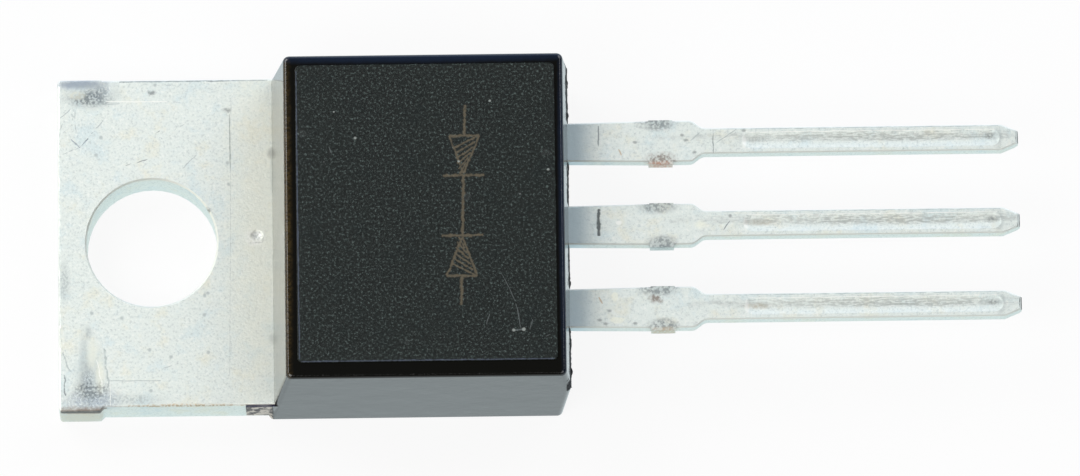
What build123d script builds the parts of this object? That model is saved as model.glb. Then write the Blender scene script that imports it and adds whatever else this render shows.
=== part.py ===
from build123d import *
from math import radians, tan
import os

# Dual Schottky rectifier with a common cathode, in a three-lead power package with a screw-down tab.
# The origin is the centre of the mounting hole on the tab's back face. +X runs along the leads, +Y
# to the left as seen from the tab, +Z from the tab's back to the front of the case. Lengths are in
# millimetres and angles in degrees.

# Heat-sink tab
tab_thickness = 1.40
tab_width = 10.02
tab_end_from_hole = 2.795
tab_corner_radius = 0.10
tab_edge_radius = 0.07
hole_diameter = 3.90
hole_rim_bevel = 0.05

# Sheared ears, where the tab was cut from its neighbours in the strip
ear_length = 1.34
ear_reach_left = 0.03

# Die pad, the tab's continuation inside the case
tab_depth_in_case = 0.15
pad_inset = 0.99
ledge_height = 0.70
ledge_reach = 0.30
lock_groove_offset = 0.75
lock_groove_width = 0.40
lock_groove_depth = 0.18

# Moulded case
case_height = 4.50
case_length = 8.85
case_side_margin = 0.12
tab_showing = 6.405
tab_end_draft = 7.5
lead_end_draft = 5.0
side_draft = 2.7
case_corner_radius = 0.18
case_front_radius = 0.12

# Matt front panel, raised inside its polished border
panel_rise = 0.04
panel_slope = 30
panel_corner_radius = 0.16
border_tab_end = 0.34
border_lead_end = 0.24
border_left = 0.30
border_right = 0.46

# Resin flash along the tab's right side, where the case begins
flash_length = 0.84
flash_thickness = 0.05
flash_height = 0.25

# Leads
lead_pitch = 2.54
lead_thickness = 0.46
lead_front_height = 2.96
lead_length = 13.41
lead_root_width = 1.17
lead_wide_width = 1.25
lead_taper_length = 0.30
lead_thin_width = 0.78
lead_edge_bevel = 0.04
lead_shoulder_radius = 0.30
lead_tip_length = 0.50
lead_tip_width = 0.36
lead_tip_bevel = 0.08

# Stubs of the dam bar that joined the leads across the strip
stub_from_case = 2.39
stub_length = 0.72
stub_reach_left = 0.02
stub_reach_right = 0.07
stub_to_taper = 0.58

# Round-bottomed channel coined along each lead's thin part
channel_from_taper = 1.21
channel_from_tip = 0.55
channel_width = 0.50
channel_depth = 0.05

# Riser that carries the middle lead from the pad up to the plane of the leads
riser_width = 1.50
riser_flat = 0.25
riser_run = 0.90
riser_landing = 0.30
riser_shoulder = 0.40
riser_bend_radius = 0.40
root_in_case = 0.40

# Wire posts at the inner ends of the outer leads
post_from_parting = 0.85
post_length = 1.40
post_width = 2.40
post_corner_radius = 0.20

# Dies and the solder under them
die_size = 2.40
die_thickness = 0.28
die_to_pad_edge = 0.65
die_from_case_end = 2.80
die_metal_margin = 0.20
die_metal_rise = 0.02
solder_thickness = 0.06
solder_margin = 0.08
solder_slope = 45

# Bond wires
wire_diameter = 0.50
wire_foot_length = 0.95
wire_foot_width = 0.72
wire_foot_thickness = 0.18
wire_rise_run = 1.15
wire_fall_run = 0.70
wire_loop_height = 0.62
wire_bend_radius = 0.60

# Places along the leads that follow from the sizes
tab_start = -tab_end_from_hole
ear_end = tab_start + ear_length
case_start = tab_start + tab_showing
case_parting = case_start + case_length
riser_end = case_parting - root_in_case - riser_shoulder
riser_top = riser_end - riser_landing
riser_foot = riser_top - riser_run
pad_start = case_start + tab_depth_in_case
pad_end = riser_foot - riser_flat - ledge_reach
die_centre = case_start + die_from_case_end
post_end = case_parting - post_from_parting
post_start = post_end - post_length
stub_start = case_parting + stub_from_case
stub_end = stub_start + stub_length
lead_wide_end = stub_end + stub_to_taper
lead_thin_start = lead_wide_end + lead_taper_length
lead_tip = case_parting + lead_length

# Sizes across the package, where the right ear is sheared off flush with the case's side
tab_half = tab_width / 2
case_back_half = tab_half + case_side_margin
ear_reach_right = case_side_margin
pad_width = tab_width - 2 * pad_inset
die_offset = pad_width / 2 - die_to_pad_edge - die_size / 2

# Heights over the tab's back
lead_back_height = lead_front_height - lead_thickness
lead_middle_height = lead_front_height - lead_thickness / 2
riser_foot_height = tab_thickness - lead_thickness / 2
die_bottom = tab_thickness + solder_thickness
die_top = die_bottom + die_thickness + die_metal_rise

# Distance under which two places are the same when edges and corners are picked
fine = 0.001

# Both outer leads, dies and wires, as a side of the package and the end of their names
sides = {1: "1", -1: "2"}

# What is left of the dam bar on the left and on the right of every lead
stub_reaches = {1: stub_reach_left, -1: stub_reach_right}


def drafted(height, draft):
    """Distance that a drafted wall moves over a height"""
    return height * tan(radians(draft))


def lead_side(side, stub_reach):
    """One side of a lead's plan about its own centre line, from where it leaves the case to its tip"""
    wide = side * lead_wide_width / 2
    thin = side * lead_thin_width / 2
    return [
        (case_parting, side * lead_root_width / 2),
        (stub_start, wide),
        (stub_start, wide + side * stub_reach),
        (stub_end, wide + side * stub_reach),
        (stub_end, wide),
        (lead_wide_end, wide),
        (lead_thin_start, thin),
        (lead_tip - lead_tip_length, thin),
        (lead_tip, side * lead_tip_width / 2),
        (lead_tip, 0),
    ]


def shoulder_corners(plan):
    """Corners of a lead's plan where its wide part narrows to the thin part"""
    places = (lead_wide_end, lead_thin_start)
    return plan.vertices().filter_by(lambda corner: min(abs(corner.X - place) for place in places) < fine)


def coin_lead(centre):
    """Bevelled tip, coined channel and softened front edges of the lead on a centre line"""
    tip_edges = edges().filter_by_position(Axis.X, lead_tip - fine, lead_tip + fine)
    chamfer(tip_edges.filter_by(Axis.Y), lead_tip_bevel)

    channel_radius = (channel_width**2 / 4 + channel_depth**2) / (2 * channel_depth)
    channel_height = lead_front_height + channel_radius - channel_depth
    channel_start = lead_thin_start + channel_from_taper + channel_width / 2
    channel_end = lead_tip - channel_from_tip - channel_width / 2
    with Locations((channel_start, centre, channel_height), (channel_end, centre, channel_height)):
        Sphere(channel_radius, mode=Mode.SUBTRACT)
    with Locations(((channel_start + channel_end) / 2, centre, channel_height)):
        Cylinder(channel_radius, channel_end - channel_start, rotation=(0, 90, 0), mode=Mode.SUBTRACT)

    front_edges = edges().filter_by_position(Axis.Z, lead_front_height - fine, lead_front_height + fine)
    outline = front_edges.filter_by(
        lambda edge: edge.bounding_box().min.X > case_parting - fine
        and edge.bounding_box().size.X > lead_edge_bevel
        and not stub_start < edge.center().X < stub_end
        and abs(edge.center().Y - centre) > channel_width / 2 + fine
    )
    chamfer(outline, lead_edge_bevel)


# Tab, die pad and middle lead, one stamping from strip with a thick and a thin part
with BuildPart() as tab_with_cathode_lead:
    with BuildSketch() as tab_plan:
        with BuildLine():
            Polyline(
                (tab_start, tab_half + ear_reach_left),
                (ear_end - ear_reach_left, tab_half + ear_reach_left),
                (ear_end, tab_half),
                (pad_start, tab_half),
                (pad_start, pad_width / 2),
                (pad_end, pad_width / 2),
                (pad_end, -pad_width / 2),
                (pad_start, -pad_width / 2),
                (pad_start, -tab_half),
                (ear_end, -tab_half),
                (ear_end - ear_reach_right, -tab_half - ear_reach_right),
                (tab_start, -tab_half - ear_reach_right),
                close=True,
            )
        make_face()
        fillet(tab_plan.vertices().group_by(Axis.X)[0], tab_corner_radius)
    extrude(amount=tab_thickness)

    # Edges rolled over by the stamping die, along the part of the tab that shows
    tab_front = edges().filter_by_position(Axis.Z, tab_thickness - fine, tab_thickness + fine)
    fillet(
        tab_front.filter_by(lambda edge: edge.center().X < pad_start - fine),
        tab_edge_radius,
    )

    # Ledge round the pad that the case grips, so that the pad can't be pulled out of its back
    with BuildSketch(Plane.XY.offset(ledge_height)):
        with Locations((pad_start, 0)):
            Rectangle(
                pad_end + ledge_reach - pad_start,
                pad_width + 2 * ledge_reach,
                align=(Align.MIN, Align.CENTER),
            )
    extrude(amount=tab_thickness - ledge_height)

    # Lock groove across the pad, just inside the case
    with BuildSketch(Plane.XZ):
        groove_centre = pad_start + lock_groove_offset
        with BuildLine():
            Polyline(
                (groove_centre - lock_groove_width / 2, tab_thickness),
                (groove_centre, tab_thickness - lock_groove_depth),
                (groove_centre + lock_groove_width / 2, tab_thickness),
                close=True,
            )
        make_face()
    extrude(amount=tab_width, both=True, mode=Mode.SUBTRACT)

    # Mounting hole with the rolled rim of its punched side
    with Locations((0, 0, tab_thickness)):
        Hole(hole_diameter / 2)
    chamfer(edges().filter_by(GeomType.CIRCLE).group_by(Axis.Z)[-1], hole_rim_bevel)

    # Riser from the pad's front up to the plane of the leads
    with BuildSketch(Plane.XZ):
        with BuildLine():
            FilletPolyline(
                (pad_end, riser_foot_height),
                (riser_foot, riser_foot_height),
                (riser_top, lead_middle_height),
                (riser_end, lead_middle_height),
                radius=riser_bend_radius,
            )
        trace(line_width=lead_thickness)
    extrude(amount=riser_width / 2, both=True)

    # Middle lead
    with BuildSketch(Plane.XY.offset(lead_back_height)) as middle_plan:
        with BuildLine():
            for side, stub_reach in stub_reaches.items():
                Polyline(
                    (riser_end, 0),
                    (riser_end, side * riser_width / 2),
                    (riser_end + riser_shoulder, side * lead_root_width / 2),
                    *lead_side(side, stub_reach),
                )
        make_face()
        fillet(shoulder_corners(middle_plan), lead_shoulder_radius)
    extrude(amount=lead_thickness)
    coin_lead(0)

# Outer leads, each with a wide post inside the case for its wire
anode_leads = []
for side, number in sides.items():
    with BuildPart() as anode_lead:
        with BuildSketch(Plane((0, side * lead_pitch, lead_back_height))) as anode_plan:
            with BuildLine():
                for edge_side, stub_reach in stub_reaches.items():
                    Polyline(
                        (post_start, 0),
                        (post_start, edge_side * post_width / 2),
                        (post_end, edge_side * post_width / 2),
                        (post_end, edge_side * lead_root_width / 2),
                        *lead_side(edge_side, stub_reach),
                    )
            make_face()
            post_corners = anode_plan.vertices().filter_by(
                lambda corner: abs(abs(corner.Y) - post_width / 2) < fine
            )
            fillet(post_corners, post_corner_radius)
            fillet(shoulder_corners(anode_plan), lead_shoulder_radius)
        extrude(amount=lead_thickness)
        coin_lead(side * lead_pitch)
    anode_lead.part.label = "anode_lead_" + number
    anode_leads.append(anode_lead.part)

# Dies, side by side on the pad, each on its solder
dies = []
solders = []
for side, number in sides.items():
    die_plane = Plane((die_centre, side * die_offset, tab_thickness))

    with BuildPart() as die_solder:
        with BuildSketch(die_plane):
            Rectangle(die_size + 2 * solder_margin, die_size + 2 * solder_margin)
        extrude(amount=solder_thickness, taper=solder_slope)
    die_solder.part.label = "die_solder_" + number
    solders.append(die_solder.part)

    with BuildPart() as diode_die:
        with BuildSketch(die_plane.offset(solder_thickness)):
            Rectangle(die_size, die_size)
        extrude(amount=die_thickness)
        with BuildSketch(die_plane.offset(solder_thickness + die_thickness)):
            Rectangle(die_size - 2 * die_metal_margin, die_size - 2 * die_metal_margin)
        extrude(amount=die_metal_rise)
    diode_die.part.label = "diode_die_" + number
    dies.append(diode_die.part)

# Bond wires, each looped from the middle of its die to the middle of its post
wires = []
for side, number in sides.items():
    die_foot = Vector(die_centre, side * die_offset, 0)
    post_foot = Vector((post_start + post_end) / 2, side * lead_pitch, 0)
    along = (post_foot - die_foot).normalized()
    span = (post_foot - die_foot).length
    loop_height = lead_front_height + wire_loop_height

    with BuildPart() as bond_wire:
        with BuildLine(Plane(die_foot, x_dir=along, z_dir=along.cross(Vector(0, 0, 1)))) as loop:
            FilletPolyline(
                (0, die_top),
                (wire_rise_run, loop_height),
                (span - wire_fall_run, loop_height),
                (span, lead_front_height),
                radius=wire_bend_radius,
            )
        with BuildSketch(Plane(loop.line @ 0, z_dir=loop.line % 0)):
            Circle(wire_diameter / 2)
        sweep()

        # Feet pressed flat by the bonding tool, with nothing of the wire below them
        for foot, foot_height in ((die_foot, die_top), (post_foot, lead_front_height)):
            foot_plane = Plane(foot + Vector(0, 0, foot_height), x_dir=along, z_dir=(0, 0, 1))
            with BuildSketch(foot_plane):
                Rectangle(wire_foot_length, wire_foot_width)
            extrude(amount=-wire_diameter, mode=Mode.SUBTRACT)
            with BuildSketch(foot_plane):
                SlotOverall(wire_foot_length, wire_foot_width)
            extrude(amount=wire_foot_thickness)
    bond_wire.part.label = "bond_wire_" + number
    wires.append(bond_wire.part)

# Case, moulded round all the rest
front_start = case_start + drafted(case_height - tab_thickness, tab_end_draft)
front_end = case_parting - drafted(case_height - lead_middle_height, lead_end_draft)
case_front_half = case_back_half - drafted(case_height, side_draft)

with BuildPart() as moulded_case:
    # Side view: back, sloping tab end, front, and a lead end with draft both ways from its parting line
    with BuildSketch(Plane.XZ):
        with BuildLine():
            Polyline(
                (case_start - drafted(tab_thickness, tab_end_draft), 0),
                (front_start, case_height),
                (front_end, case_height),
                (case_parting, lead_middle_height),
                (case_parting - drafted(lead_middle_height, lead_end_draft), 0),
                close=True,
            )
        make_face()
    extrude(amount=case_back_half, both=True)

    # End view: both sides lean in towards the front
    with BuildSketch(Plane.YZ):
        with BuildLine():
            Polyline(
                (case_back_half, 0),
                (case_front_half, case_height),
                (-case_front_half, case_height),
                (-case_back_half, 0),
                close=True,
            )
        make_face()
    extrude(amount=case_parting, mode=Mode.INTERSECT)

    upright_edges = edges().filter_by(lambda edge: edge.bounding_box().size.Z > case_corner_radius)
    fillet(upright_edges, case_corner_radius)
    fillet(faces().sort_by(Axis.Z)[-1].edges(), case_front_radius)

    # Raised panel with sloping edges
    panel_start = front_start + border_tab_end
    panel_end = front_end - border_lead_end
    panel_left = case_front_half - border_left
    panel_right = -case_front_half + border_right
    panel_middle = ((panel_start + panel_end) / 2, (panel_left + panel_right) / 2)
    with BuildSketch(Plane((*panel_middle, case_height))):
        RectangleRounded(panel_end - panel_start, panel_left - panel_right, panel_corner_radius)
    extrude(amount=panel_rise, taper=panel_slope)

    # Flash squeezed out along the tab's right side
    with BuildSketch(Plane.XY.offset(flash_height)):
        with Locations((case_start - flash_length, -tab_half)):
            Rectangle(
                flash_length + tab_depth_in_case,
                flash_thickness,
                align=(Align.MIN, Align.MAX),
            )
    extrude(amount=tab_thickness - flash_height)

    # Room for everything that the resin flowed round
    for piece in (tab_with_cathode_lead.part, *anode_leads, *solders, *dies, *wires):
        add(piece, mode=Mode.SUBTRACT)

tab_with_cathode_lead.part.label = "tab_with_cathode_lead"
moulded_case.part.label = "moulded_case"

os.makedirs("parts", exist_ok=True)
for piece in (moulded_case.part, tab_with_cathode_lead.part, *anode_leads, *solders, *dies, *wires):
    export_step(piece, "parts/" + piece.label + ".step")
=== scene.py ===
from math import cos, radians, sin

import bpy
from mathutils import Matrix, Vector


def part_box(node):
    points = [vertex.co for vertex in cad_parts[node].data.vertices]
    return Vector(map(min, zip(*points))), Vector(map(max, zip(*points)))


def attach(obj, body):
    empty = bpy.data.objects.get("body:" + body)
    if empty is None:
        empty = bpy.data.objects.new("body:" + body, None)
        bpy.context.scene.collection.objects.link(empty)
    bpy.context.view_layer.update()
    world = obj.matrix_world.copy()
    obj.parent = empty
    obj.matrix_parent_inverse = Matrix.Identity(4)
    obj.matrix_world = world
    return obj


# A dual Schottky rectifier in its moulded case, on a plain pale floor. Sizes and places below are in
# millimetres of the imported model's frame: +X along the leads, +Y across, +Z up from the tab's back.
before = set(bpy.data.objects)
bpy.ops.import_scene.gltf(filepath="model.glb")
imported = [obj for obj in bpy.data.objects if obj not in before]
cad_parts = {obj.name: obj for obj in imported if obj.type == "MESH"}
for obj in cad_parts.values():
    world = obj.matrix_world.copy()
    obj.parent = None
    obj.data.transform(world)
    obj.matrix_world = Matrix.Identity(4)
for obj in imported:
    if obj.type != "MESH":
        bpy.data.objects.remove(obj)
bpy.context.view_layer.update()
mm = 0.001

case_low, case_high = (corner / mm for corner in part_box("moulded_case"))
stamping_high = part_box("tab_with_cathode_lead")[1] / mm

# Heights of the surfaces that carry marks, and of the parting line
tab_front = 1.40
lead_front = stamping_high.z
panel_front = case_high.z
panel_rise = 0.04
case_front = panel_front - panel_rise
case_parting_height = 2.73

# Places along and across the package
case_start = 3.61
case_end_face = 12.30
case_parting = case_high.x
panel_start, panel_end = 4.358, 12.065
panel_right, panel_left = -4.458, 4.618
tab_half_width = 5.01
ear_reach = 0.12
lead_pitch = 2.54
lead_half_width = 0.62

# Camera
camera_aim = (11.5945, -0.024, 1.498)
camera_distance = 375.68
camera_tilt = 13.604
camera_turn = 0.396
camera_roll = 0.806
camera_sensor = 36
camera_lens = 419.42

# Lamps
lamp_distance = 300
lamp_size = 180


def srgb(red, green, blue):
    """Linear colour of an sRGB one given from 0 to 255"""
    def linear(value):
        value /= 255
        return value / 12.92 if value <= 0.04045 else ((value + 0.055) / 1.055) ** 2.4

    return (linear(red), linear(green), linear(blue), 1)


def in_metres(x, y, z):
    """Place in metres, from one in millimetres"""
    return Vector((x, y, z)) * mm


# Node trees


def wire(tree, value, socket):
    """Feeds a socket from another one, or sets its value"""
    if isinstance(value, bpy.types.NodeSocket):
        tree.links.new(value, socket)
    else:
        socket.default_value = value


def put(tree, kind, settings=None, **inputs):
    """Adds a node with its settings and its inputs, whose names have _ for a space"""
    made = tree.nodes.new("ShaderNode" + kind)
    for name, value in (settings or {}).items():
        setattr(made, name, value)
    for name, value in inputs.items():
        wire(tree, value, made.inputs[name.replace("_", " ")])
    return made


def maths(tree, operation, *values):
    """Result of a Math node"""
    made = put(tree, "Math", {"operation": operation})
    for value, socket in zip(values, made.inputs):
        wire(tree, value, socket)
    return made.outputs["Value"]


def vectors(tree, operation, *values, scale=None):
    """Result of a Vector Math node, a number for lengths and dot products"""
    made = put(tree, "VectorMath", {"operation": operation})
    for value, socket in zip(values, made.inputs):
        wire(tree, value, socket)
    if scale is not None:
        wire(tree, scale, made.inputs["Scale"])
    gives_number = operation in ("LENGTH", "DISTANCE", "DOT_PRODUCT")
    return made.outputs["Value" if gives_number else "Vector"]


def ramp(tree, value, low, high):
    """Smooth step from 0 to 1, as the input goes from low to high"""
    settings = {"interpolation_type": "SMOOTHSTEP", "clamp": False}
    return put(tree, "MapRange", settings, Value=value, From_Min=low, From_Max=high).outputs["Result"]


def tint(tree, mask, colour, other):
    """One colour where the mask is 0 and another where it is 1"""
    made = put(tree, "Mix", {"data_type": "RGBA"})
    factor, first, second, mixed = made.inputs[0], made.inputs[6], made.inputs[7], made.outputs[2]
    wire(tree, mask, factor)
    wire(tree, colour, first)
    wire(tree, other, second)
    return mixed


def place(tree):
    """Place on the object, in millimetres"""
    coordinates = put(tree, "TexCoord").outputs["Object"]
    return vectors(tree, "SCALE", coordinates, scale=1 / mm)


def clouds(tree, vector, per_mm, detail=2.0, roughness=0.5):
    """Noise of so many patches to the millimetre, from 0 to 1"""
    made = put(tree, "TexNoise", Vector=vector, Scale=per_mm, Detail=detail, Roughness=roughness)
    return made.outputs["Fac"]


def apart(tree, vector):
    """X, Y and Z of a place"""
    return put(tree, "SeparateXYZ", Vector=vector).outputs


def new_group(name, inputs, outputs):
    """An empty shader node group, with its inputs and outputs by name"""
    tree = bpy.data.node_groups.new(name, "ShaderNodeTree")
    for socket, value in inputs.items():
        kind = "NodeSocketFloat" if isinstance(value, float) else "NodeSocketVector"
        tree.interface.new_socket(socket, in_out="INPUT", socket_type=kind).default_value = value
    for socket in outputs:
        tree.interface.new_socket(socket, in_out="OUTPUT", socket_type="NodeSocketFloat")
    return tree, tree.nodes.new("NodeGroupInput").outputs, tree.nodes.new("NodeGroupOutput").inputs


def use(tree, group, **inputs):
    """Places a node group with its own values, and returns its outputs"""
    return put(tree, "Group", {"node_tree": group}, **inputs).outputs


# Effects that several finishes share


def worn_patch_group():
    """A patch with ragged edges, 1 in its middle, and broken up into speckles where that is asked for"""
    tree, given, result = new_group(
        "worn patch",
        {
            "Place": (0, 0, 0),
            "Centre": (0, 0, 0),
            "Reach": (1, 1, 1),
            "Raggedness": 0.8,
            "Grain": 5.0,
            "Stretch": (1, 1, 1),
            "Softness": 0.3,
            "Speckle": 0.0,
        },
        ["Mask"],
    )
    here = given["Place"]
    from_centre = vectors(tree, "SUBTRACT", here, given["Centre"])
    distance = vectors(tree, "LENGTH", vectors(tree, "DIVIDE", from_centre, given["Reach"]))
    stretched = vectors(tree, "MULTIPLY", here, given["Stretch"])
    rough = maths(tree, "SUBTRACT", clouds(tree, stretched, given["Grain"], detail=3.0, roughness=0.6), 0.5)
    edge = maths(tree, "MULTIPLY_ADD", rough, given["Raggedness"], distance)
    inside = maths(tree, "SUBTRACT", 1.0, given["Softness"])
    body = ramp(tree, edge, maths(tree, "ADD", 1.0, given["Softness"]), inside)
    holes = maths(tree, "MULTIPLY", ramp(tree, clouds(tree, stretched, 13.0), 0.58, 0.40), given["Speckle"])
    wire(tree, maths(tree, "MULTIPLY", body, maths(tree, "SUBTRACT", 1.0, holes)), result["Mask"])
    return tree


def score_group():
    """A line from one place to another, thinner towards its ends and broken here and there"""
    tree, given, result = new_group(
        "score",
        {
            "Place": (0, 0, 0),
            "From": (0, 0, 0),
            "To": (1, 0, 0),
            "Width": 0.03,
            "Wobble": 0.06,
            "Breaks": 0.5,
            "Taper": 0.35,
        },
        ["Mask"],
    )
    here = given["Place"]
    shake = put(tree, "TexNoise", Vector=here, Scale=3.0).outputs["Color"]
    shake = vectors(tree, "SCALE", vectors(tree, "SUBTRACT", shake, (0.5, 0.5, 0.5)), scale=given["Wobble"])
    start = vectors(tree, "SUBTRACT", vectors(tree, "ADD", here, shake), given["From"])
    along = vectors(tree, "SUBTRACT", given["To"], given["From"])
    gone = vectors(tree, "DOT_PRODUCT", start, along)
    whole = vectors(tree, "DOT_PRODUCT", along, along)
    share = maths(tree, "DIVIDE", gone, whole)
    share = maths(tree, "MAXIMUM", maths(tree, "MINIMUM", share, 1.0), 0.0)
    distance = vectors(tree, "DISTANCE", start, vectors(tree, "SCALE", along, scale=share))
    to_end = maths(tree, "MULTIPLY", maths(tree, "SUBTRACT", 1.0, share), share)
    slender = maths(tree, "POWER", maths(tree, "MULTIPLY", to_end, 4.0), given["Taper"])
    thinnest = 0.0005
    half = maths(tree, "MULTIPLY_ADD", slender, given["Width"], thinnest)
    line = maths(tree, "SUBTRACT", 1.0, maths(tree, "DIVIDE", distance, half))
    gaps = maths(tree, "MULTIPLY", clouds(tree, here, 9.0, detail=3.0), given["Breaks"])
    wire(tree, ramp(tree, maths(tree, "SUBTRACT", line, gaps), 0.0, 0.4), result["Mask"])
    return tree


def plate_mottle_group():
    """Blotches of a matt metal plating: cool and warm areas, grain, specks and the height in millimetres"""
    tree, given, result = new_group(
        "plate mottle",
        {"Seed": 0.0},
        ["Cool", "Warm", "Dark Grain", "Light Grain", "Specks", "Height"],
    )
    here = vectors(tree, "ADD", place(tree), vectors(tree, "SCALE", (7.0, 3.0, 5.0), scale=given["Seed"]))
    broad = clouds(tree, here, 1.1, detail=4.0, roughness=0.62)
    grain = clouds(tree, here, 13.0, detail=2.0, roughness=0.8)
    speck = clouds(tree, here, 5.5, detail=2.0, roughness=0.75)
    wire(tree, ramp(tree, broad, 0.48, 0.30), result["Cool"])
    wire(tree, ramp(tree, broad, 0.52, 0.70), result["Warm"])
    wire(tree, ramp(tree, grain, 0.48, 0.32), result["Dark Grain"])
    wire(tree, ramp(tree, grain, 0.54, 0.70), result["Light Grain"])
    wire(tree, ramp(tree, speck, 0.68, 0.76), result["Specks"])
    height = 0.004
    bumps = maths(tree, "MULTIPLY_ADD", grain, height, maths(tree, "MULTIPLY", speck, height))
    wire(tree, bumps, result["Height"])
    return tree


def resin_grain_group():
    """Grain of moulded resin: height in millimetres, dark and light grain, filler specks and slow tones"""
    outputs = ["Height", "Dark Grain", "Light Grain", "Specks", "Tone"]
    tree, _, result = new_group("resin grain", {}, outputs)
    here = place(tree)
    grain = clouds(tree, here, 13.0, detail=2.0, roughness=0.9)
    crumbs = put(tree, "TexVoronoi", Vector=here, Scale=5.0).outputs
    chosen = ramp(tree, apart(tree, crumbs["Color"])["X"], 0.965, 0.995)
    near = ramp(tree, crumbs["Distance"], maths(tree, "MULTIPLY", chosen, 0.22), 0.03)
    height = 0.008
    wire(tree, maths(tree, "MULTIPLY", grain, height), result["Height"])
    wire(tree, ramp(tree, grain, 0.48, 0.30), result["Dark Grain"])
    wire(tree, ramp(tree, grain, 0.52, 0.72), result["Light Grain"])
    wire(tree, maths(tree, "MULTIPLY", near, chosen), result["Specks"])
    wire(tree, clouds(tree, here, 1.1, detail=4.0, roughness=0.6), result["Tone"])
    return tree


worn_patch = worn_patch_group()
score = score_group()
plate_mottle = plate_mottle_group()
resin_grain = resin_grain_group()


class Finish:
    """One material as it is built up: a colour, a roughness and a height that marks change in turn"""

    def __init__(self, name, colour, roughness, **shader):
        self.material = bpy.data.materials.new(name)
        self.material.use_nodes = True
        self.tree = self.material.node_tree
        self.tree.nodes.clear()
        self.colour = colour
        self.roughness = roughness
        self.height = 0.0
        self.shader = shader
        self.marks = {}
        self.here = place(self.tree)

    def stain(self, mask, colour, strength=1.0):
        """Mixes another colour in where the mask is"""
        self.colour = tint(self.tree, maths(self.tree, "MULTIPLY", mask, strength), self.colour, colour)

    def roughen(self, mask, roughness):
        """Another roughness where the mask is"""
        change = maths(self.tree, "MULTIPLY", mask, maths(self.tree, "SUBTRACT", roughness, self.roughness))
        self.roughness = maths(self.tree, "ADD", self.roughness, change)

    def raise_by(self, mask, height):
        """Lifts the surface by so many millimetres where the mask is, or sinks it"""
        self.height = maths(self.tree, "MULTIPLY_ADD", mask, height, self.height)

    def patch(self, look, centre, reach, **shape):
        """A ragged patch of one look"""
        made = use(self.tree, worn_patch, Place=self.here, Centre=centre, Reach=reach, **shape)
        self.add_mark(look, made["Mask"])

    def line(self, look, start, end, width, **shape):
        """A scratch or a printed line of one look"""
        made = use(self.tree, score, Place=self.here, From=start, To=end, Width=width, **shape)
        self.add_mark(look, made["Mask"])

    def add_mark(self, look, mask):
        """Joins a mark to the others of its look"""
        others = self.marks.get(look, 0.0)
        self.marks[look] = maths(self.tree, "MAXIMUM", mask, others)

    def lay_marks(self):
        """Colours and sinks the surface where the marks are, look by look"""
        for (colour, strength, depth), mask in self.marks.items():
            self.stain(mask, colour, strength)
            if depth:
                self.raise_by(mask, -depth)

    def finished(self):
        """The material, with its shader at the end of it all"""
        self.lay_marks()
        bump = put(self.tree, "Bump", Height=self.height, Distance=mm, Strength=1.0)
        shader = put(
            self.tree,
            "BsdfPrincipled",
            Base_Color=self.colour,
            Roughness=self.roughness,
            Normal=bump.outputs["Normal"],
            **self.shader,
        )
        put(self.tree, "OutputMaterial", Surface=shader.outputs["BSDF"])
        return self.material


# Finishes

tin_light = srgb(232, 238, 233)
tin_cool = srgb(220, 232, 232)
# Bluish tin for the painted shade at the roots of the leads
tin_blue_shade = srgb(225, 242, 247)
tin_warm = srgb(234, 233, 217)
# Bright tin: light grain, and painted highlights
tin_bright_and_highlight = srgb(252, 253, 248)
tin_grey = srgb(182, 191, 190)
epoxy_black = srgb(16, 16, 14)
epoxy_panel = srgb(21, 27, 25)
epoxy_dark = srgb(1, 2, 2)
epoxy_light = srgb(88, 101, 98)
epoxy_cloudy = srgb(14, 24, 24)
epoxy_scratched = srgb(120, 125, 124)
flash_grey = srgb(84, 82, 84)
flash_pale = srgb(222, 219, 210)
flash_blue = srgb(12, 13, 20)
flash_light = srgb(30, 32, 40)
parting_dark = srgb(10, 12, 20)

# Looks of marks: their colour, their strength and how many millimetres deep they are
# Crushed tin: a real dent, coloured with painted bluish shade
crushed_and_shaded = (srgb(150, 162, 178), 0.80, 0.02)
shaded = (srgb(128, 136, 138), 0.75, 0)
faint = (tin_grey, 0.70, 0)
streaked = (srgb(158, 162, 158), 0.55, 0)
speckled = (srgb(142, 148, 148), 0.65, 0)
# Dented tin: a shallow dent, coloured with painted shade
dented_and_shaded = (srgb(96, 102, 102), 0.90, 0.015)
# Painted highlight: bright tin, with no depth
painted_highlight = (tin_bright_and_highlight, 0.70, 0)
# Pale warm tin, mostly painted light and highlights
pale_and_lit = (srgb(253, 252, 234), 0.45, 0)
bared = (srgb(206, 190, 164), 0.90, 0)
tanned = (srgb(206, 192, 166), 0.50, 0)
coppery = (srgb(206, 158, 134), 0.80, 0)
# Brown: a real stain, and painted shade at the edge of the ear
browned_and_shaded = (srgb(140, 126, 116), 0.80, 0)
printed = (srgb(100, 91, 74), 0.72, 0)
scratched = (srgb(92, 98, 98), 0.75, 0)
chipped = (srgb(150, 156, 152), 0.80, 0)
# Bluish grey of rubbed panel edges, partly a painted highlight
rubbed_and_highlit = (srgb(80, 88, 104), 0.70, 0)
# Golden brown on the case's rounded edges: painted reflection and wear
golden_sheen_and_wear = (srgb(100, 82, 46), 0.42, 0)
# Bluish painted sheen on the case's rounded edges
painted_blue_sheen = (srgb(31, 44, 66), 0.60, 0)
edged = (srgb(56, 56, 76), 0.90, 0)


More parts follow.
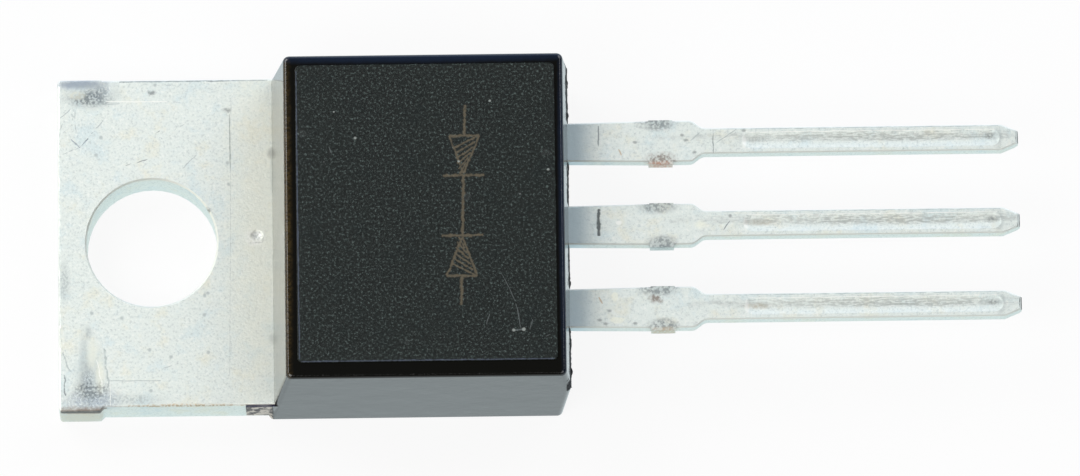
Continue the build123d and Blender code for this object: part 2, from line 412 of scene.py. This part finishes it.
def tin_plate(name, seed):
    """Matt tin over copper, blotched and grained, with painted bluish shade at the case and painted
    highlights on rounded edges
    """
    finish = Finish(name, tin_light, 0.58, Metallic=1.0)
    mottle = use(finish.tree, plate_mottle, Seed=seed)
    finish.stain(mottle["Cool"], tin_cool, 0.8)
    finish.stain(mottle["Warm"], tin_warm, 0.6)
    finish.stain(mottle["Dark Grain"], tin_grey, 0.4)
    finish.stain(mottle["Light Grain"], tin_bright_and_highlight, 0.5)
    finish.stain(mottle["Specks"], tin_grey, 0.5)

    # Painted bluish shade on the roots of the leads, from just inside the case
    along = apart(finish.tree, finish.here)["X"]
    from_inside = ramp(finish.tree, along, case_parting - 1.2, case_parting - 0.8)
    by_case = ramp(finish.tree, along, case_parting + 0.9, case_parting + 0.1)
    finish.stain(maths(finish.tree, "MULTIPLY", from_inside, by_case), tin_blue_shade, 0.9)

    # Painted highlight on the rounded edges, between the front and the sides
    upwards = apart(finish.tree, put(finish.tree, "NewGeometry").outputs["Normal"])["Z"]
    off_front = ramp(finish.tree, upwards, 0.94, 0.86)
    off_side = ramp(finish.tree, upwards, 0.1, 0.3)
    finish.stain(maths(finish.tree, "MULTIPLY", off_front, off_side), tin_bright_and_highlight, 0.85)

    finish.height = mottle["Height"]
    return finish


def mark_lead(finish, centre, stub_side, stub_top):
    """Scuffs of every lead: at the stubs of the dam bar, along its coined channel with painted highlights,
    and on its tip in painted shade
    """
    z = lead_front

    # Stubs
    left = centre + lead_half_width
    right = centre - lead_half_width
    crumbly = dict(Grain=8.0, Softness=0.5, Speckle=0.7)
    finish.patch(shaded, (15.10, left - 0.04, z), (0.52, 0.22, 0.3), **crumbly)
    finish.patch(stub_top, (15.22, right + 0.05, z), (0.40, 0.20, 0.2), **crumbly)
    finish.patch(stub_side, (15.22, right - 0.07, z - 0.23), (0.42, 0.10, 0.34), Softness=0.5, Speckle=0.6)

    # Channel
    streaks = dict(Raggedness=1.8, Stretch=(0.35, 1.6, 1), Softness=0.7, Speckle=0.8)
    finish.patch(streaked, (21.3, centre + 0.10, z), (4.0, 0.13, 0.2), **streaks)
    finish.patch(streaked, (22.6, centre + 0.02, z), (2.6, 0.07, 0.2), **streaks)
    finish.patch(streaked, (18.10, centre + 0.05, z), (0.30, 0.09, 0.2), Softness=0.8, Speckle=0.5)
    finish.patch(shaded, (25.08, centre + 0.05, z), (0.20, 0.08, 0.2), Softness=0.8, Speckle=0.7)
    # Painted highlights at the start of the channel and along its upper edge
    finish.patch(painted_highlight, (17.71, centre - 0.02, z), (0.06, 0.18, 0.2), Softness=0.6)
    finish.patch(faint, (25.24, centre - 0.02, z), (0.12, 0.24, 0.2), Softness=0.8, Speckle=0.3)
    finish.line(painted_highlight, (17.75, centre + 0.25, z), (25.2, centre + 0.25, z), 0.022, Breaks=0.5, Taper=0.05)
    finish.line(faint, (17.0, centre + 0.36, z), (25.3, centre + 0.36, z), 0.035, Breaks=0.7, Taper=0.05)

    # Tip: painted shade in two shallow grooves across it
    for x, drop in ((25.79, 0.04), (25.86, 0.08)):
        start = (x, centre + 0.20, z - drop)
        end = (x, centre - 0.20, z - drop)
        finish.line(dented_and_shaded, start, end, 0.045, Breaks=0.5, Taper=0.1)


def mark_middle_lead(finish):
    """Scuffs of the middle lead, with its own dent in painted shade, a crack, spots and a painted highlight
    """
    z = lead_front
    mark_lead(finish, 0.0, faint, shaded)
    finish.line(dented_and_shaded, (13.34, 0.48, z), (13.33, -0.34, z), 0.14, Wobble=0.05, Breaks=1.0, Taper=0.12)
    finish.line(shaded, (17.03, -0.22, z), (17.26, 0.09, z), 0.032, Wobble=0.08)
    finish.patch(speckled, (17.25, 0.23, z), (0.05, 0.05, 0.1), Softness=0.6)
    finish.patch(tanned, (18.15, 0.02, z), (0.40, 0.08, 0.1), Softness=0.8, Speckle=0.5)
    finish.patch(pale_and_lit, (16.37, -0.02, z), (0.14, 0.12, 0.1), Softness=0.8)
    finish.patch(painted_highlight, (13.93, 0.06, z), (0.08, 0.07, 0.1), Raggedness=0.8)


def mark_corners(finish):
    """Marks on the tab's two front corners, crushed as its ears were sheared, with painted shade and
    highlights on the dents
    """
    z = tab_front

    # Left corner, crushed, with painted bluish shade and highlights, and the tab's edges from there on
    finish.patch(crushed_and_shaded, (-2.05, 4.90, z), (0.72, 0.14, 0.3), Softness=0.6)
    finish.patch(crushed_and_shaded, (-1.58, 4.68, z), (0.30, 0.30, 0.3), Softness=0.6, Speckle=0.6)
    finish.patch(faint, (-1.80, 4.55, z), (0.72, 0.36, 0.3), Grain=8.0, Softness=0.5, Speckle=0.7)
    finish.patch(shaded, (-1.84, 4.46, z), (0.56, 0.20, 0.3), Raggedness=1.4, Softness=0.5, Speckle=0.8)
    finish.patch(pale_and_lit, (-2.20, 4.56, z), (0.24, 0.12, 0.3), Grain=8.0, Speckle=0.8)
    finish.line(faint, (-1.97, 4.30, z), (-0.92, 4.29, z), 0.05, Breaks=0.8)
    finish.line(shaded, (-0.95, 4.97, z), (3.50, 4.97, z), 0.05, Wobble=0.03, Breaks=0.8, Taper=0.05)
    finish.line(faint, (-2.75, 3.60, z), (-2.75, -3.20, z), 0.05, Wobble=0.04, Breaks=1.0, Taper=0.05)
    finish.line(painted_highlight, (-1.34, 4.37, z), (0.50, 4.34, z), 0.035, Wobble=0.02, Breaks=0.5, Taper=0.1)
    finish.line(faint, (0.50, 4.34, z), (0.92, 4.31, z), 0.02, Wobble=0.1)

    # Right corner, a dent with real depth, painted bluish and grey shade in its hollow and painted
    # highlights on its ridge, and what is near it
    finish.patch(
        shaded, (-1.80, -4.48, z), (0.46, 0.24, 0.3), Raggedness=1.4, Grain=8.0, Softness=0.4, Speckle=1.0
    )
    finish.patch(crushed_and_shaded, (-1.75, -4.78, z), (0.62, 0.26, 0.3), Raggedness=1.2, Softness=0.95, Speckle=0.4)
    finish.patch(faint, (-1.86, -4.10, z), (0.32, 0.80, 0.3), Raggedness=1.0, Softness=0.95, Speckle=0.2)
    finish.patch(crushed_and_shaded, (-1.92, -4.35, z), (0.16, 0.45, 0.3), Raggedness=1.0, Softness=0.95, Speckle=0.4)
    finish.patch(faint, (-2.02, -3.70, z), (0.14, 0.80, 0.3), Raggedness=1.2, Softness=0.8, Speckle=0.5)
    finish.patch(pale_and_lit, (-1.78, -3.40, z), (0.16, 0.36, 0.3), Raggedness=1.0, Softness=0.8)
    finish.patch(pale_and_lit, (-1.56, -3.95, z), (0.11, 0.50, 0.3), Raggedness=1.0, Softness=0.8)
    finish.line(painted_highlight, (-1.66, -3.55, z), (-1.52, -4.35, z), 0.05, Wobble=0.15, Breaks=0.8)
    finish.line(faint, (-1.44, -3.20, z), (-1.32, -4.35, z), 0.10, Wobble=0.25, Breaks=0.8)
    finish.line(painted_highlight, (-1.27, -4.30, z), (-1.25, -4.98, z), 0.025, Taper=0.1, Breaks=0.8)
    finish.line(shaded, (-2.64, -4.00, z), (-2.60, -4.70, z), 0.06, Wobble=0.15, Breaks=0.9)
    finish.line(faint, (-2.66, -3.30, z), (-2.45, -3.95, z), 0.06, Wobble=0.15, Breaks=0.8)
    finish.patch(faint, (-1.91, -2.75, z), (0.10, 0.20, 0.2), Softness=0.7, Speckle=0.6)
    finish.patch(
        faint, (-2.62, -1.20, z), (0.16, 0.50, 0.2), Raggedness=1.2, Grain=8.0, Softness=0.5, Speckle=0.8
    )
    finish.line(faint, (-1.37, -4.21, z), (0.25, -4.23, z), 0.03, Wobble=0.03, Breaks=0.7, Taper=0.1)
    finish.patch(
        faint, (-0.60, -4.80, z), (0.80, 0.14, 0.2), Raggedness=1.6, Grain=8.0, Softness=0.6, Speckle=1.0
    )

    # Sheared side faces: tan under a painted dark edge shade at the ear, tan specks along the tab
    ear_face = -tab_half_width - ear_reach
    finish.patch(
        tanned, (-2.10, ear_face, 0.6), (0.80, 0.10, 0.80), Raggedness=0.9, Softness=0.5, Speckle=0.3
    )
    # Painted shade along the ear's front edge
    finish.line(browned_and_shaded, (-2.76, ear_face, 1.26), (-1.36, ear_face, 1.24), 0.34, Breaks=0.5, Taper=0.1)
    finish.line(dented_and_shaded, (-2.74, ear_face, 1.28), (-1.40, ear_face, 1.26), 0.16, Breaks=0.6, Taper=0.1)
    finish.patch(bared, (0.9, -tab_half_width, 1.36), (1.7, 0.08, 0.07), Raggedness=1.2, Speckle=0.9)


def scratch_tab(finish):
    """Scratches, pits and smudges on the tab's front, and painted light along the case"""
    z = tab_front
    finish.line(faint, (2.40, 4.45, z), (2.30, -4.10, z), 0.022, Wobble=0.03, Breaks=1.0, Taper=0.05)
    finish.line(shaded, (2.35, 3.95, z), (2.36, 2.25, z), 0.030, Wobble=0.03, Breaks=0.6)
    picked = dict(Raggedness=2.2, Grain=8.0, Softness=0.7, Speckle=0.5)
    for x, y in ((2.29, 4.06), (0.02, 4.62), (1.67, 0.99)):
        finish.patch(shaded, (x, y, z), (0.11, 0.07, 0.2), **picked)
    for x, y in (
        (2.28, 2.43),
        (2.30, 1.77),
        (-1.65, 2.72),
        (-1.50, 3.26),
        (-0.91, -2.30),
        (-1.80, -2.14),
        (-0.08, -3.28),
        (0.55, -3.50),
        (1.67, -3.38),
        (-0.05, -4.53),
        (1.55, -2.23),
        (0.13, 4.86),
        (1.57, -1.63),
        (1.66, -1.57),
    ):
        finish.patch(faint, (x, y, z), (0.05, 0.05, 0.2), Grain=8.0, Softness=0.6)

    # Pit, sunk and with painted bluish shade, inside a painted highlight for its raised ring
    finish.patch(painted_highlight, (3.08, 0.13, z), (0.26, 0.24, 0.2), Raggedness=1.2, Softness=0.5, Speckle=0.5)
    finish.patch(crushed_and_shaded, (3.14, 0.20, z), (0.13, 0.11, 0.2), Raggedness=1.2, Grain=8.0, Softness=0.6)
    finish.line(shaded, (2.88, -0.04, z), (3.32, -0.03, z), 0.03)
    finish.line(faint, (3.30, -0.03, z), (3.38, 0.26, z), 0.03)

    # Short scratches
    for look, start, end in (
        (shaded, (-0.76, 2.38), (-0.58, 2.46)),
        (shaded, (-0.43, 2.47), (-0.11, 2.56)),
        (faint, (0.84, 2.18), (1.43, 2.76)),
        (shaded, (0.08, 3.33), (0.29, 3.45)),
        (faint, (0.82, 3.53), (1.04, 3.65)),
        (crushed_and_shaded, (-2.39, 3.24), (-2.11, 2.95)),
        (crushed_and_shaded, (-2.13, 2.95), (-1.67, 3.49)),
        (faint, (-1.68, 3.48), (-1.35, 3.86)),
        (faint, (-2.73, 3.86), (-2.32, 4.22)),
        (faint, (-2.29, 4.17), (-2.24, 3.36)),
        (faint, (-2.74, 3.30), (-2.66, 3.70)),
        (faint, (-2.70, 2.72), (-2.10, 2.98)),
        (faint, (0.15, 4.86), (0.70, 4.85)),
        (faint, (0.30, -3.86), (0.80, -3.70)),
    ):
        finish.line(look, (*start, z), (*end, z), 0.030, Wobble=0.10, Breaks=0.7)

    # Warm painted light along the case, where the case shades the tab, and smudges there
    finish.patch(pale_and_lit, (3.30, 0.40, z), (0.85, 4.80, 0.3), Grain=2.5, Raggedness=1.2, Softness=0.9)
    finish.patch(shaded, (3.60, 2.72, z), (0.11, 0.14, 0.3), Softness=0.7)
    finish.patch(faint, (3.62, 2.10, z), (0.06, 0.60, 0.3), Softness=0.6)
    finish.patch(faint, (3.60, -2.98, z), (0.12, 0.15, 0.3), Softness=0.7)


def tab_finish():
    """Tinned tab with its marks, and the middle lead that is one with it"""
    finish = tin_plate("tinned tab", 0.0)
    mark_corners(finish)
    scratch_tab(finish)
    mark_middle_lead(finish)
    return finish.finished()


def first_lead_finish():
    """Outer lead on the left: a thin dent at its root in painted shade, copper bared at its stub, cracks at
    its shoulder
    """
    finish = tin_plate("tinned lead 1", 2.0)
    z = lead_front
    mark_lead(finish, lead_pitch, coppery, browned_and_shaded)
    finish.line(shaded, (13.37, 3.04, z), (13.36, 2.39, z), 0.035, Breaks=0.35)
    finish.line(shaded, (16.78, 2.90, z), (16.77, 2.14, z), 0.025, Wobble=0.08, Breaks=0.6, Taper=0.1)
    finish.line(faint, (16.86, 2.47, z), (17.50, 2.90, z), 0.03, Wobble=0.08)
    finish.line(faint, (16.40, 2.80, z), (16.10, 2.55, z), 0.025, Wobble=0.05)
    finish.line(bared, (13.96, 2.32, z), (14.04, 2.12, z), 0.035, Wobble=0.05)
    for x, y in ((14.45, 2.52), (15.86, 2.72), (15.97, 2.57), (16.22, 2.19), (17.70, 2.84)):
        finish.patch(speckled, (x, y, z), (0.06, 0.04, 0.1), Grain=8.0, Softness=0.6)
    return finish.finished()


def second_lead_finish():
    """Outer lead on the right: smudges at its root, a tan stub"""
    finish = tin_plate("tinned lead 2", 3.0)
    z = lead_front
    mark_lead(finish, -lead_pitch, bared, shaded)
    finish.patch(
        browned_and_shaded, (14.99, -2.28, z), (0.20, 0.11, 0.1), Raggedness=1.8, Grain=8.0, Softness=0.5, Speckle=0.6
    )
    finish.line(bared, (13.30, -2.20, z), (13.42, -2.42, z), 0.04, Wobble=0.05)
    # Pale patches near the root: pale tin and painted light
    finish.patch(pale_and_lit, (13.79, -2.19, z), (0.10, 0.13, 0.1), Raggedness=0.8)
    finish.patch(pale_and_lit, (13.84, -2.92, z), (0.20, 0.10, 0.1), Raggedness=0.9)
    finish.patch(tanned, (18.0, -2.54, z), (0.30, 0.08, 0.1), Softness=0.8, Speckle=0.5)
    for x, y in ((13.61, -2.63), (13.33, -2.91), (13.50, -3.02), (14.38, -3.02)):
        finish.patch(speckled, (x, y, z), (0.06, 0.04, 0.1), Grain=8.0, Softness=0.6)
    return finish.finished()


def draw_circuit_symbol(finish):
    """Circuit sign of two diodes with a joint cathode, drawn along the panel with a slight lean"""
    middle_line = 9.30
    lean = 0.029
    half_triangle = 0.45
    half_bar = 0.62

    def spot(side, along):
        """Place on the panel, so far to the side of the sign's middle line and so far along it"""
        return (middle_line + side + lean * along, along, panel_front)

    def stroke(side, along, other_side, other_along, width):
        """Printed line from one place of the sign to another"""
        ends = spot(side, along), spot(other_side, other_along)
        finish.line(printed, *ends, width, Breaks=1.0, Taper=0.02)

    for base, tip, bar, far in ((2.39, 1.24, 1.18, 3.33), (-1.88, -0.71, -0.65, -2.77)):
        stroke(0, far, 0, base, 0.13)
        stroke(-half_triangle, base, half_triangle, base, 0.12)
        stroke(-half_triangle, base, 0, tip, 0.10)
        stroke(half_triangle, base, 0, tip, 0.10)
        stroke(-half_bar, bar, half_bar, bar, 0.12)

        # Hatching
        slant = (tip - base) * 0.3
        longest = 0.7
        for share in (0.02, 0.16, 0.30, 0.44, 0.58, 0.72):
            side = half_triangle * (1 - share) - 0.05
            along = base + (tip - base) * share
            stroke(side, along, side - longest * (1 - share), along + slant, 0.085)

    # Joint cathode, between the two bars
    stroke(0, 1.18, 0, -0.65, 0.13)


def scratch_case(finish):
    """Wear of the case: rubbed panel edges with a painted highlight, scratches, chips and a painted sheen
    on the rounded edges
    """
    z = panel_front
    rim = dict(Wobble=0.03, Breaks=1.0, Taper=0.03)
    left_end = (panel_start + 0.03, panel_left - 0.2, z)
    right_end = (panel_start + 0.06, panel_right + 0.1, z)
    # Rubbed panel edges, lighter and bluish as a painted highlight
    finish.line(rubbed_and_highlit, left_end, right_end, 0.055, **rim)
    tab_side = (panel_start + 0.1, panel_right + 0.03, z)
    lead_side = (panel_end - 0.1, panel_right + 0.03, z)
    finish.line(rubbed_and_highlit, tab_side, lead_side, 0.055, **rim)
    for start, end, width in (
        ((9.95, -3.37), (10.06, -3.05), 0.035),
        ((11.24, -3.54), (11.33, -3.22), 0.040),
        ((10.83, -2.71), (10.98, -3.49), 0.036),
        ((10.40, -1.75), (10.83, -2.71), 0.026),
        ((11.98, 4.25), (12.20, 4.25), 0.035),
        ((11.70, -3.76), (11.90, -3.66), 0.028),
        ((10.72, -3.55), (11.12, -3.53), 0.050),
        ((5.36, 2.10), (5.42, 1.90), 0.030),
    ):
        finish.line(scratched, (*start, z), (*end, z), width, Breaks=0.7)
    for x, y, size in (
        (10.76, -3.55, 0.05),
        (11.06, -3.53, 0.05),
        (11.84, 1.33, 0.04),
        (5.51, 3.17, 0.03),
        (6.13, 2.36, 0.04),
        (10.14, 3.45, 0.03),
        (9.19, 1.61, 0.03),
    ):
        finish.patch(chipped, (x, y, z), (size, size, 0.1), Raggedness=1.4, Grain=8.0, Softness=0.5)

    # Rounded edges towards the tab and on the right: a painted golden-brown reflection, with grainy wear
    worn = dict(Raggedness=1.0, Grain=8.0, Softness=0.8, Speckle=0.6)
    finish.patch(golden_sheen_and_wear, (case_start + 0.46, 0, z - 0.14), (0.13, 5.4, 0.2), **worn)
    finish.patch(golden_sheen_and_wear, (8.0, case_low.y + 0.12, z - 0.14), (4.7, 0.06, 0.2), Raggedness=0.8, Softness=0.8)

    # Rounded edges on the left and towards the leads, with a painted bluish sheen
    finish.patch(painted_blue_sheen, (8.2, case_high.y - 0.30, z - 0.12), (5.6, 0.16, 0.2), Raggedness=0.4, Softness=0.6)
    finish.patch(painted_blue_sheen, (case_parting - 0.16, 0, z - 0.10), (0.14, 5.6, 0.2), Raggedness=0.4, Softness=0.6)

    # Right side face
    side = case_low.y
    finish.line(chipped, (9.42, side + 0.03, 2.16), (9.52, side + 0.02, 2.36), 0.045)
    finish.line(chipped, (9.52, side + 0.02, 2.36), (9.72, side + 0.02, 2.28), 0.035)
    finish.line(chipped, (10.47, side + 0.10, 0.35), (10.70, side + 0.07, 1.20), 0.045)

    # Dark line along the top of the flash beside the tab
    flash_side = -tab_half_width - 0.03
    flash_top = tab_front - 0.02
    flash_start = (case_start - 0.86, flash_side, flash_top)
    flash_end = (case_start + 0.02, flash_side, flash_top)
    finish.line(edged, flash_start, flash_end, 0.09, Taper=0.05)


def case_finish():
    """Black filled epoxy: polished sides and border, matt front panel"""
    finish = Finish("black epoxy", epoxy_black, 0.10, IOR=1.56)
    tree = finish.tree
    grain = use(tree, resin_grain)
    here = apart(tree, finish.here)
    panel = ramp(tree, here["Z"], case_front + 0.004, case_front + 0.012)
    finish.stain(panel, epoxy_panel)
    finish.stain(maths(tree, "MULTIPLY", panel, grain["Dark Grain"]), epoxy_dark, 0.9)
    finish.stain(maths(tree, "MULTIPLY", panel, grain["Light Grain"]), epoxy_light, 0.9)
    finish.stain(maths(tree, "MULTIPLY", panel, ramp(tree, grain["Tone"], 0.5, 0.75)), epoxy_cloudy, 0.5)
    finish.stain(maths(tree, "MULTIPLY", panel, grain["Specks"]), epoxy_scratched, 0.7)
    finish.roughen(panel, 0.32)
    finish.roughen(ramp(tree, here["X"], case_end_face - 0.10, case_end_face), 0.13)
    finish.raise_by(maths(tree, "MULTIPLY_ADD", panel, 0.65, 0.35), grain["Height"])
    finish.raise_by(grain["Tone"], 0.01)

    # Rough broken flash beside the tab
    off_case = ramp(tree, here["X"], case_start - 0.02, case_start - 0.08)
    low_down = ramp(tree, here["Z"], tab_front + 0.05, tab_front - 0.02)
    flash = maths(tree, "MULTIPLY", off_case, low_down)
    broken = clouds(tree, finish.here, 3.4, detail=3.0, roughness=0.7)
    finish.stain(flash, flash_grey, 0.95)
    finish.stain(maths(tree, "MULTIPLY", flash, ramp(tree, broken, 0.44, 0.56)), flash_pale, 0.9)
    finish.roughen(flash, 0.6)

    # Rough line left by the mould's parting, on the end face beside the leads
    low_edge = ramp(tree, here["Z"], case_parting_height - 0.10, case_parting_height)
    ragged_top = maths(tree, "MULTIPLY_ADD", broken, 1.7, case_parting_height - 0.25)
    high_edge = ramp(tree, maths(tree, "SUBTRACT", here["Z"], ragged_top), 0.08, -0.02)
    half_pitch = lead_pitch / 2
    across = maths(tree, "MINIMUM", maths(tree, "ABSOLUTE", here["Y"]), 3 * half_pitch)
    from_lead = maths(tree, "PINGPONG", across, half_pitch)
    beside_leads = ramp(tree, from_lead, lead_half_width - 0.04, lead_half_width + 0.04)
    on_end_face = ramp(tree, here["X"], case_end_face, case_end_face + 0.04)
    at_lead_end = maths(tree, "MULTIPLY", beside_leads, on_end_face)
    parting = maths(tree, "MULTIPLY", maths(tree, "MULTIPLY", low_edge, high_edge), at_lead_end)
    finish.stain(parting, parting_dark)
    finish.roughen(parting, 0.9)
    rough_resin = maths(tree, "MAXIMUM", flash, parting)
    finish.raise_by(maths(tree, "MULTIPLY", rough_resin, broken), 0.12)

    draw_circuit_symbol(finish)
    scratch_case(finish)
    return finish.finished()


def inner_finish(name, colour, roughness, metallic):
    """Finish of a piece that the case hides"""
    finish = Finish(name, colour, roughness, Metallic=metallic)
    mottle = use(finish.tree, plate_mottle, Seed=9.0)
    finish.stain(mottle["Cool"], tin_grey, 0.2)
    finish.height = mottle["Height"]
    return finish.finished()


def dress(piece, material):
    """Gives a piece its material"""
    piece.data.materials.clear()
    piece.data.materials.append(material)


def dress_packed_pieces():
    """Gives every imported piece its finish"""
    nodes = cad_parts
    dress(nodes["moulded_case"], case_finish())
    dress(nodes["tab_with_cathode_lead"], tab_finish())
    silicon = inner_finish("silicon", srgb(70, 74, 84), 0.2, 0.6)
    solder = inner_finish("solder", srgb(150, 152, 156), 0.45, 1.0)
    aluminium = inner_finish("drawn aluminium", srgb(205, 207, 210), 0.3, 1.0)
    dress(nodes["anode_lead_1"], first_lead_finish())
    dress(nodes["anode_lead_2"], second_lead_finish())
    for number in ("1", "2"):
        dress(nodes["diode_die_" + number], silicon)
        dress(nodes["die_solder_" + number], solder)
        dress(nodes["bond_wire_" + number], aluminium)


# Resin flash along the parting line


def take_vertices(piece, wanted):
    """Selects the vertices for which the test holds, in edit mode"""
    bpy.ops.object.mode_set(mode="EDIT")
    bpy.ops.mesh.select_all(action="DESELECT")
    bpy.ops.object.mode_set(mode="OBJECT")
    for vertex in piece.data.vertices:
        vertex.select = wanted(vertex.co / mm)
    bpy.ops.object.mode_set(mode="EDIT")


def flash_sheet(right, left, lips, seed):
    """Thin ragged sheet of resin between two places across the package, with lips that stand out further"""
    reach = 0.055
    root = case_parting - reach
    step = 0.06
    raggedness = 0.016
    lip_half_width = 0.04
    middle = in_metres(root + reach / 2, (right + left) / 2, case_parting_height)
    steps = round((left - right) / step)
    bpy.ops.object.select_all(action="DESELECT")
    bpy.ops.mesh.primitive_grid_add(x_subdivisions=2, y_subdivisions=steps, size=mm, location=middle)
    sheet = bpy.context.object
    bpy.ops.object.transform_apply(location=True)
    bpy.ops.object.mode_set(mode="EDIT")
    bpy.ops.transform.resize(value=(reach, left - right, 1), center_override=middle)
    take_vertices(sheet, lambda at: at.x > root + 0.5 * reach)
    bpy.ops.transform.vertex_random(offset=raggedness * mm, uniform=0.3, seed=seed)
    for across, outwards in lips:
        take_vertices(sheet, lambda at: at.x > root + 0.4 * reach and abs(at.y - across) < lip_half_width)
        bpy.ops.transform.translate(
            value=in_metres(outwards, 0, 0.02),
            use_proportional_edit=True,
            proportional_edit_falloff="SMOOTH",
            proportional_size=0.16 * mm,
        )
    bpy.ops.object.mode_set(mode="OBJECT")
    thickness = sheet.modifiers.new("thickness", "SOLIDIFY")
    thickness.thickness = 0.05 * mm
    thickness.offset = 0
    bpy.ops.object.modifier_apply(modifier=thickness.name)
    return sheet


def make_parting_flash():
    """The four ragged sheets of flash between and beside the leads, as one piece"""
    sheets = [
        flash_sheet(3.16, 4.88, ((3.41, 0.03), (4.37, 0.02)), 1),
        flash_sheet(0.60, 1.93, ((1.62, 0.02), (1.85, 0.02)), 2),
        flash_sheet(-1.94, -0.60, ((-1.75, 0.02),), 3),
        flash_sheet(-4.90, -3.16, ((-4.43, 0.04), (-3.55, 0.02)), 4),
    ]
    bpy.ops.object.select_all(action="DESELECT")
    for sheet in sheets:
        sheet.select_set(True)
    bpy.context.view_layer.objects.active = sheets[0]
    bpy.ops.object.join()
    piece = bpy.context.object
    piece.name = "parting_flash"
    bpy.ops.object.mode_set(mode="EDIT")
    bpy.ops.mesh.select_all(action="SELECT")
    bpy.ops.mesh.normals_make_consistent(inside=False)
    bpy.ops.object.mode_set(mode="OBJECT")
    bpy.ops.object.origin_set(type="ORIGIN_CURSOR")
    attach(piece, "root")
    finish = Finish("resin flash", flash_blue, 0.6, IOR=1.56)
    grain = use(finish.tree, resin_grain)
    finish.stain(grain["Light Grain"], flash_light, 0.6)
    finish.height = grain["Height"]
    dress(piece, finish.finished())


# Stage


def make_floor():
    """Pale floor with a faint shadow, white to the camera, bluish in reflections and clear from below"""
    floor_width = 4000
    shown_white = 0.9
    bluish = (0.86, 0.97, 1.0, 1)
    bpy.ops.object.select_all(action="DESELECT")
    bpy.ops.mesh.primitive_plane_add(size=floor_width * mm, location=in_metres(11, 0, -0.02))
    floor = bpy.context.object
    floor.name = "floor"
    material = bpy.data.materials.new("pale floor")
    material.use_nodes = True
    tree = material.node_tree
    tree.nodes.clear()
    paper = put(tree, "BsdfDiffuse", Color=(0.8, 0.8, 0.8, 1)).outputs["BSDF"]
    rays = put(tree, "LightPath").outputs
    seen = maths(tree, "MULTIPLY", rays["Is Camera Ray"], shown_white)
    mirrored = maths(tree, "MAXIMUM", rays["Is Glossy Ray"], rays["Is Transmission Ray"])
    shade = tint(tree, mirrored, (1, 1, 1, 1), bluish)
    white = put(tree, "Emission", Color=shade, Strength=1.0).outputs["Emission"]
    surface = put(tree, "MixShader", Fac=maths(tree, "MAXIMUM", seen, mirrored))
    wire(tree, paper, surface.inputs[1])
    wire(tree, white, surface.inputs[2])
    underside = put(tree, "NewGeometry").outputs["Backfacing"]
    from_below = maths(tree, "MULTIPLY", rays["Is Camera Ray"], underside)
    one_way = put(tree, "MixShader", Fac=from_below)
    wire(tree, surface.outputs["Shader"], one_way.inputs[1])
    wire(tree, put(tree, "BsdfTransparent").outputs["BSDF"], one_way.inputs[2])
    put(tree, "OutputMaterial", Surface=one_way.outputs["Shader"])
    floor.data.materials.append(material)


def make_world():
    """Dim room round the object, bluish to its left, grey to its right and warm beyond its tab"""
    dim = (0.02, 0.02, 0.02, 1)
    bluish = (0.75, 0.88, 1.12, 1)
    grey = (0.5, 0.5, 0.48, 1)
    warm = (0.85, 0.79, 0.68, 1)
    white = (1, 1, 1, 1)
    world = bpy.data.worlds.new("studio")
    world.use_nodes = True
    tree = world.node_tree
    tree.nodes.clear()
    direction = put(tree, "TexCoord").outputs["Generated"]
    side = apart(tree, direction)
    low_down = ramp(tree, side["Z"], 0.85, 0.35)
    left_wall = maths(tree, "MULTIPLY", ramp(tree, side["Y"], 0.15, 0.8), low_down)
    lower_down = ramp(tree, side["Z"], 0.5, 0.2)
    right_wall = maths(tree, "MULTIPLY", ramp(tree, side["Y"], -0.4, -0.9), lower_down)
    tab_wall = maths(tree, "MULTIPLY", ramp(tree, side["X"], -0.15, -0.9), low_down)
    colour = tint(tree, left_wall, dim, bluish)
    colour = tint(tree, right_wall, colour, grey)
    colour = tint(tree, tab_wall, colour, warm)
    rays = put(tree, "LightPath").outputs
    colour = tint(tree, rays["Is Camera Ray"], colour, white)
    background = put(tree, "Background", Color=colour, Strength=1.0).outputs["Background"]
    put(tree, "OutputWorld", Surface=background)
    bpy.context.scene.world = world


def make_lamp(name, azimuth, elevation, power):
    """Square soft box that points at the middle of the object"""
    data = bpy.data.lights.new(name, "AREA")
    data.size = lamp_size * mm
    data.energy = power
    lamp = bpy.data.objects.new(name, data)
    bpy.context.scene.collection.objects.link(lamp)
    turn, rise = radians(azimuth), radians(elevation)
    towards = Vector((cos(rise) * cos(turn), cos(rise) * sin(turn), sin(rise)))
    lamp.location = in_metres(*camera_aim) + towards * lamp_distance * mm
    lamp.rotation_euler = towards.to_track_quat("Z", "Y").to_euler()


def make_camera():
    """Camera above the object, tilted towards its right side"""
    data = bpy.data.cameras.new("camera")
    data.sensor_width = camera_sensor
    data.lens = camera_lens
    data.clip_start = 10 * mm
    data.clip_end = 10000 * mm
    camera = bpy.data.objects.new("camera", data)
    bpy.context.scene.collection.objects.link(camera)
    turned = (
        Matrix.Rotation(radians(-camera_turn), 4, "Y")
        @ Matrix.Rotation(radians(camera_tilt), 4, "X")
        @ Matrix.Rotation(radians(-camera_roll), 4, "Z")
    )
    back = turned @ Vector((0, 0, camera_distance * mm))
    camera.matrix_world = Matrix.Translation(in_metres(*camera_aim) + back) @ turned
    bpy.context.scene.camera = camera


make_camera()
make_world()
make_floor()
for name, azimuth, elevation, power in (
    ("left_back", 140, 42, 0.435),
    ("left_front", 45, 42, 0.22),
    ("right_front", -45, 55, 0.17),
    ("right_back", -140, 55, 0.385),
):
    make_lamp(name, azimuth, elevation, power)
bpy.context.scene.view_settings.view_transform = "Standard"

dress_packed_pieces()
make_parting_flash()
